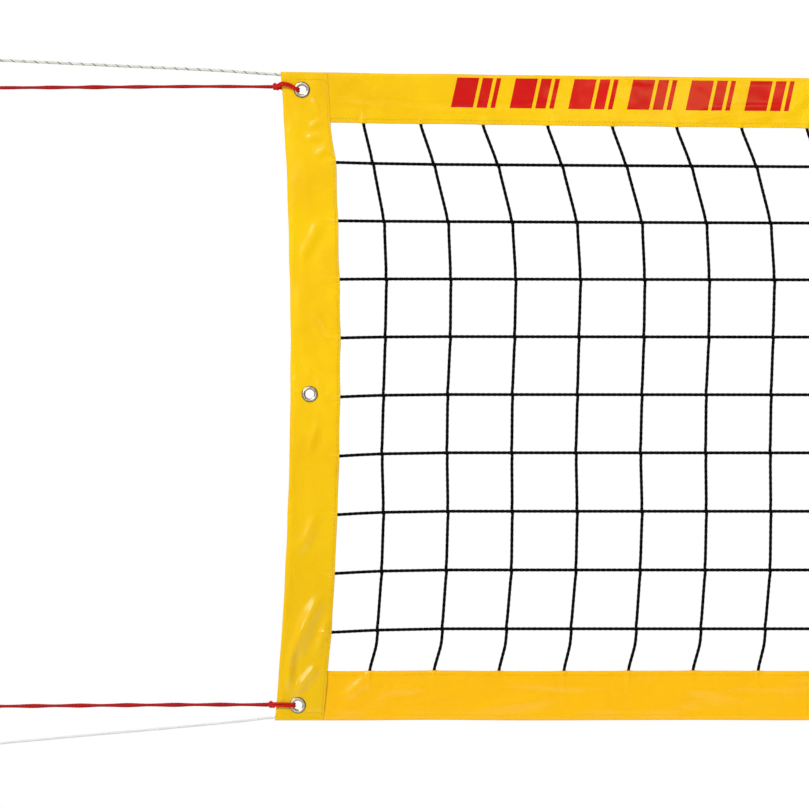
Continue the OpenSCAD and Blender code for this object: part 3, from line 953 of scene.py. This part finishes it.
def mesh_row(k):
    z_end = float(row_z(k, CORNER_X + END_BAND_W))
    x_end = end_edge(z_end) + END_BAND_W - SELVAGE_INSET
    bend = CORNER_X + END_BAND_W + FAN_REACH / 4
    xs = np.array([x_end, bend, *columns_at(k), other_end(bend), other_end(x_end)])
    path = even(np.stack([xs, np.full_like(xs, -CORD_Y), row_z(k, xs)], axis=1), RING_GAP)
    from_band = np.minimum(path[:, 0], other_end(path[:, 0])) - x_end - SELVAGE_INSET
    path[:, 1] *= ease(from_band, 0, TUCK)
    return path


def mesh_column(i):
    """Upright cord i. It steps aside a little at each knot, and hooks into the bottom band."""
    knots = [(column_x(i, k), CORD_Y, float(level_z(k, column_x(i, k)))) for k in range(ROWS + 2)]
    last, foot = np.array(knots[-2]), np.array(knots[-1])
    hook = last + (foot - last) * (0.08, 0, 0.35)
    path = even(knots[:-1] + [hook, foot], RING_GAP)
    blur = np.ones(BLUR) / BLUR
    path[:, 0] = np.convolve(np.pad(path[:, 0], BLUR // 2, mode="edge"), blur, mode="valid")
    for x, _, z in knots[1:-1]:
        off = path[:, 2] - z
        path[:, 0] -= way_of(i) * KNOT_JOG * np.tanh(off / KNOT_H) * bump_at(off, 0, 3 * KNOT_H)
    from_band = np.minimum(path[0, 2] - path[:, 2], path[:, 2] - path[-1, 2])
    path[:, 1] *= ease(from_band, 0, TUCK)
    above, below = path[0] + (0, 0, SELVAGE_INSET), path[-1] - (0, 0, SELVAGE_INSET)
    return np.concatenate([[above], path, [below]])


def net_knot(shape, x, z, way):
    """Two turns of cord drawn tight round a crossing."""
    turn = tau * np.arange(12) / 12
    for lean in (1, -1):
        u, v = KNOT_SIZE[0] * np.cos(turn), KNOT_SIZE[1] * np.sin(turn)
        across = x - way * lean * KNOT_JOG + u * cos(KNOT_LEAN)
        up = z + way * lean * u * sin(KNOT_LEAN) + lean * 0.0009 * np.sin(turn)
        tube(shape, np.stack([across, v, up], axis=1), KNOT_TURN_R, 6, closed=True)


def mesh():
    for k in range(1, ROWS + 1):
        net_cord(Shape(), mesh_row(k)).build(
            f"mesh_row_cord_{k}", MESH_CORD, "net", "mesh_cord", [f"mesh_row_{k}"])
    for g in range(1, COLUMN_GROUPS + 1):
        cords, knots = Shape(), Shape()
        for i in range(GROUP_SIZE * (g - 1) + 1, min(COLUMNS, GROUP_SIZE * g) + 1):
            net_cord(cords, mesh_column(i))
            for k in range(1, ROWS + 1):
                x = column_x(i, k)
                net_knot(knots, x, float(row_z(k, x)), way_of(i))
        cords.build(f"mesh_column_cords_{g}", MESH_CORD, "net", "mesh_cord", [f"mesh_columns_{g}"])
        knots.build(f"mesh_knots_{g}", MESH_CORD, "net", "mesh_cord")


def edge_cords():
    """The cords inside the bands that the mesh is knotted to."""
    z_side = np.linspace(
        BOTTOM_Z + BOTTOM_BAND_H - SELVAGE_INSET, TOP_Z - TOP_BAND_H + SELVAGE_INSET, 40)
    x_side = end_edge(z_side) + END_BAND_W - SELVAGE_INSET
    top_x = np.linspace(x_side[-1], other_end(x_side[-1]), 200)
    foot_x = np.linspace(x_side[0], other_end(x_side[0]), 200)
    for node, x, z in (
            ("top_selvage", top_x, top_edge(top_x) - TOP_BAND_H + SELVAGE_INSET),
            ("bottom_selvage", foot_x, z_side[0] + 0 * foot_x),
            ("left_selvage", x_side, z_side),
            ("right_selvage", other_end(x_side), z_side)):
        shape = tube(Shape(), even(np.stack([x, 0 * x, z], 1), EDGE_CORD_GAP), EDGE_CORD_R, 8)
        shape.build(f"{node}_cord", MESH_CORD, "net", "mesh_cord", [node])


mesh()
edge_cords()


# ---- Eyelets ----

SPIN = 64
# Painted shade along the eyelet's outline: dark at the flange's outer rim and in a ring on its
# roll.
RIM_SHADE = (1, 1, 1, 0.95, 0.7, 0.3, 0, 0, 0, 0, 0.5, 0.85, 0.7, 0.3, 0.2, 0.2)


def lathe(shape, profile, centre, rim_shade=()):
    """Spins a closed outline of (radius, y) about the Y axis through centre. rim_shade is how much
    painted shade darkens each of its first points."""
    profile = np.asarray(profile)
    dark = np.zeros(len(profile))
    dark[:len(rim_shade)] = rim_shade
    angle = tau * np.arange(SPIN) / SPIN
    r, y = profile[:, 0][None], profile[:, 1][None]
    points = np.stack([centre[0] + r * np.cos(angle)[:, None], centre[1] + y + 0 * angle[:, None],
                       centre[2] + r * np.sin(angle)[:, None]], axis=-1)
    rows, columns = points.shape[:2]
    quads = grid_quads(rows, columns, (True, True))
    uvs = np.stack([(quads // columns) / rows, dark[quads % columns]], axis=-1)
    return shape.add(points, quads.tolist(), uvs)


def arc(cx, cy, rx, ry, start, end, n=8):
    """Points on an ellipse's arc, from start to end in degrees."""
    angle = np.radians(np.linspace(start, end, n))
    return list(zip(cx + rx * np.cos(angle), cy + ry * np.sin(angle)))


def eyelet_outline(f, r):
    """Rolled flange in front, barrel, and the curl that grips the washer behind."""
    dome = arc(r + 0.0027, -f, FLANGE_R - r - 0.0027, 0.0011, 0, -90)
    roll = arc(r + 0.0022, -f + 0.0008, 0.0022, 0.0019, -90, -180)
    curl = arc(r + 0.0011, f + 0.0002, 0.0011, 0.001, 180, 0, 10)
    hollow = arc(r + 0.0011, f + 0.0002, 0.0005, 0.0004, 0, 180, 6)
    inside = [(r + 0.0006, f - 0.001), (r + 0.0006, -f + 0.001), (FLANGE_R - 0.0006, -f + 0.0002)]
    return dome + roll + curl + hollow + inside


def washer_outline(f, r):
    outer = arc(FLANGE_R - 0.0008, f, 0.0008, 0.0007, 0, 90, 5)
    inner = arc(r + 0.0018, f, 0.0008, 0.0006, 90, 180, 5)
    return outer + inner + [(r + 0.001, f - 0.0001), (FLANGE_R, f - 0.0001)]


METAL = (("eyelet", eyelet_outline(FACE_Y, EYELET_R), RIM_SHADE),
         ("washer", washer_outline(FACE_Y, EYELET_R), ()))
for (label, _), centres in zip(ENDS, (EYELETS, FAR_EYELETS)):
    for level, centre in zip(("top", "middle", "bottom"), centres):
        for kind, outline, rim_shade in METAL:
            shape = lathe(Shape(), outline, centre, rim_shade)
            at = f"{level}_{label}"
            shape.build(f"{kind}_metal_{at}", NICKEL, "net", "eyelet", [f"{kind}_{at}"])


# ---- Headline and footline ----

CORE_SEEN = 0.06
CORE_SKIP = 40
EYE_TURNS = 2.6
ROUTE_GAP = 0.004


def xz(points, dx, dz):
    return [(x + dx, 0.0, z + dz) for x, z in points]


def say_cord(path, mirrored):
    """Works out, from path, where the cord leaves the net and how long it is, and keeps neither.
    path runs from its loop to the net.
    """
    path = [(other_end(x) if mirrored else x, y, z) for x, y, z in path[::-1]]
    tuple(path[0])
    float(along(path)[-1])


def eye_and_knot(eye_r, rope_r, knot):
    """Centreline of a rope that comes along -X, rounds an eye at the origin and winds back on
    itself. knot is how far from there its winding starts and ends."""
    start, end = knot
    line = [(end, 0, 0), (start + 2 * rope_r, 0, 0), (start, 0, -1.2 * rope_r)]
    a = np.radians(np.linspace(-40, -320, 15))
    eye = np.stack([eye_r * np.cos(a), 0.25 * rope_r * np.sin(a), eye_r * np.sin(a)], axis=1)
    t = np.linspace(0, 1, 30)
    coil = wound(start + rope_r + (end - start - 2.4 * rope_r) * t, pi / 2 - tau * EYE_TURNS * t,
                 1.95 * rope_r, 1.95 * rope_r)
    return [*line, *eye, (start - 0.3 * rope_r, 0, 1.9 * rope_r), *coil]


def rope_loop(name, at, eye_r, radius, knot, rope, body, slot, mirrored, fine):
    path = curve(eye_and_knot(eye_r, radius, knot), 0.0012) + at
    shape = braided(Shape(), path, radius, **fine)
    return shape.build(f"{name}_eye", rope, body, slot, [f"{name}_loop"], mirrored)


def line_core(body, radius, rope, hem, fine):
    """The rope inside its hem, with the full braid only where it can be seen."""
    path = even(hem, BRAID_GAP)
    s = along(path)
    seen = (s <= CORE_SEEN) | (s >= s[-1] - CORE_SEEN)
    path = path[seen | (np.arange(len(path)) % CORE_SKIP == 0)]
    shape = tube(Shape(), path, radius * braid(along(path), BRAID_SIDES, **fine), BRAID_SIDES)
    shape.build(f"{body}_core_rope", rope, body, body, [f"{body}_core"])


def line(body, route, corner_z, hem, radius, rope, fine):
    """A line from loop to loop: its core in the hem, and a tail, knot and eye at each end."""
    line_core(body, radius, rope, hem, fine)
    tail = curve(xz(route, CORNER_X, corner_z), ROUTE_GAP)
    for label, mirrored in ENDS:
        name = f"{body}_{label}"
        loop = rope_loop(name, (0, 0, LINE_LOOP_Z[body]), LINE_EYE_R, radius, LINE_KNOT, rope, body,
                         body, mirrored, fine)
        obj = braided(Shape(), tail, radius, **fine).build(
            f"{name}_rope", rope, body, body, [f"{name}_tail"], mirrored)
        say_cord(tail, mirrored)


HEADLINE_BRAID = {"strands": 6, "pitch": 0.02, "depth": 0.1}
FOOTLINE_BRAID = {"strands": 6, "pitch": 0.016, "depth": 0.05}


def hem_path(near, corner_z, between=()):
    """The rope inside a hem: near, by (x, z) from its left corner, between, and near mirrored."""
    left = xz(near, CORNER_X, corner_z)
    return np.array([*left, *between, *((other_end(x), y, z) for x, y, z in left[::-1])])


headline_hem = hem_path(HEADLINE_ROUTE[-1:], TOP_Z, [
    (x, 0, top_edge(x) - HEM_DROP) for x in np.linspace(CORNER_X, other_end(CORNER_X), 61)])
footline_hem = hem_path([FOOTLINE_ROUTE[-1], (-0.024, 0.0031), (-CORNER_FLARE, HEM_DROP)], BOTTOM_Z)
line("headline", HEADLINE_ROUTE, TOP_Z, headline_hem, HEADLINE_R, TRACER_ROPE, HEADLINE_BRAID)
line("footline", FOOTLINE_ROUTE, BOTTOM_Z, footline_hem, FOOTLINE_R, WHITE_ROPE, FOOTLINE_BRAID)


# ---- Ties ----

TIE_BRAID = {"strands": 4, "pitch": 0.011, "depth": 0.06, "sides": 16}
BRAID_BEND = 0.001
HITCH_TURNS = 3.1
HITCH_COIL_R = 0.0034
# The cord through the eyelet and round the band's edge: x, y, and how much of the knot's height
# and of the arch is in its z
HITCH = [
    (-0.0405, -0.002, 1, 0), (-0.0365, -0.0046, 1, 0.3), (-0.032, -0.0068, 1, 0.8),
    (-0.024, -0.007, 0.75, 1), (-0.0155, -0.0068, 0.45, 0.65), (-0.0085, -0.0064, 0, 0.2),
    (-0.0056, -0.0048, 0, 0), (-0.0048, 0, 0, 0), (-0.0056, 0.005, 0, 0), (-0.0085, 0.0068, 0, 0),
    (-0.02, 0.0072, 0.5, 0), (-0.032, 0.007, 0.9, 0), (-0.0365, 0.0046, 1, 0),
    (-0.0405, 0.002, 1, 0)]


def tie_hitch(knot_z, arch):
    """The doubled cord through the eyelet and round the band's edge, and the knot on it."""
    shape = Shape()
    r = TIE_STRAND_R
    for pair in (-1, 1):
        cord = [(x, y, a * knot_z + b * arch + pair * r) for x, y, a, b in HITCH]
        braided(shape, curve(cord, BRAID_BEND), r, **TIE_BRAID)
    start, end = HITCH_KNOT
    t = np.linspace(0, 1, 44)
    swell = HITCH_COIL_R * (1 - 0.22 * (2 * t - 1) ** 2)
    x = end - r + (start - end + 2 * r) * t
    coil = wound(x, 0.6 - tau * HITCH_TURNS * t, swell, swell, knot_z)
    braided(shape, curve(coil, BRAID_BEND), r * 1.05, **TIE_BRAID)
    t = np.linspace(0, 1, 14)
    collar = wound(end - 0.001 - 0.006 * t, 3.6 * t - 1.2, 0.0046, 0.0044, knot_z)
    return braided(shape, curve(collar, BRAID_BEND), r, **TIE_BRAID)


def tie(level, label, at, mirrored, route, arch, half_turn, loose):
    name = f"tie_{level}_{label}"
    shape = tie_hitch(route[-1][1], arch)
    shape.points = [p + at for p in shape.points]
    shape.build(f"{name}_knot", HITCH_CORD_LIT, name, "tie_cord", [f"{name}_hitch"], mirrored)
    eye_at = at + (TIE_EYE_X, 0, route[0][1])
    loop = rope_loop(name, eye_at, TIE_EYE_R, TIE_STRAND_R * 1.1, TIE_KNOT, RED_CORD, name,
                     "tie_cord", mirrored, TIE_BRAID)
    path = curve(xz(route, at[0], at[2]), ROUTE_GAP)
    shape = twisted(Shape(), path, TIE_LAID_R, TIE_APART, half_turn, loose)
    obj = shape.build(f"{name}_cord", RED_CORD, name, "tie_cord", [f"{name}_line"], mirrored)
    say_cord(path, mirrored)


for label, mirrored in ENDS:
    tie("top", label, EYELETS[0], mirrored, TOP_TIE_ROUTE, 0.0045, 0.068, (0.147, 0.08))
    tie("bottom", label, EYELETS[2], mirrored, BOTTOM_TIE_ROUTE, 0.0008, 0.0725, (0.206, 0.35))


# ---- The top band's length, which is worked out and not kept ----


high("top_band")[0] - low("top_band")[0]


# ---- Floor and light ----

NET_TOP_HEIGHT = 2.43


def floor():
    z = TOP_Z - NET_TOP_HEIGHT
    points = [(x, y, z) for x, y in ((-9, -9), (19, -9), (19, 9), (-9, 9))]
    mesh_data = bpy.data.meshes.new("floor")
    mesh_data.from_pydata(points, [], [(0, 1, 2, 3)])
    mesh_data.materials.append(floor_paint())
    obj = bpy.data.objects.new("floor", mesh_data)
    bpy.context.scene.collection.objects.link(obj)


def light(name, kind, turn, strength, place=(0, 0, 0), glint=False, **settings):
    """A soft light. A glint is only seen in glossy reflections."""
    data = bpy.data.lights.new(name, kind)
    data.energy = strength
    for key, value in settings.items():
        setattr(data, key, value)
    obj = bpy.data.objects.new(name, data)
    obj.location = place
    obj.rotation_euler = turn
    obj.visible_diffuse = obj.visible_camera = not glint
    bpy.context.scene.collection.objects.link(obj)


def white_studio():
    """White where the camera looks, softer for what it lights and dim in glossy reflections."""
    world = bpy.data.worlds.new("studio")
    bpy.context.scene.world = world
    world.use_nodes = True
    n = Nodes(world.node_tree)
    ground = world.node_tree.nodes["Background"]
    ray = n.new("ShaderNodeLightPath").outputs
    lighting = n.spread(ray["Is Glossy Ray"], 0, 1, 0.3, 0.04)
    n.link(n.math("MAXIMUM", lighting, ray["Is Camera Ray"]), ground.inputs["Strength"])
    ground.inputs["Color"].default_value = (1, 1, 1, 1)


floor()
white_studio()
KEY_BOX = {"shape": "RECTANGLE", "size": 12.0, "size_y": 1.0}
SUN_ANGLE = 0.3
light("front_key", "AREA", (1.05, 0, 0), 70, (MID_X, -4.5, 2.4), **KEY_BOX)
light("back_key", "AREA", (-1.05, 0, 0), 110, (MID_X, 4.5, 2.4), **KEY_BOX)
light("top_band_glow", "AREA", (pi / 2, 0, 0), 2.4,
      (CORNER_X + 1.14, -CAMERA_DISTANCE, TOP_Z + 0.41), glint=True,
      shape="RECTANGLE", size=0.7, size_y=0.4, color=(1, 0.9, 0.35))
light("front_sun", "SUN", (0.92, -0.12, -0.66), 2.27, angle=SUN_ANGLE)
light("back_sun", "SUN", (-0.92, 0.12, 0.66), 1.3, angle=SUN_ANGLE)
light("front_glint", "SUN", (1.28, 0, -0.31), 0.6, glint=True, angle=SUN_ANGLE)
light("back_glint", "SUN", (-1.28, 0, 0.31), 0.6, glint=True, angle=SUN_ANGLE)
bpy.context.scene.view_settings.view_transform = "Standard"
bpy.context.scene.view_settings.look = "None"
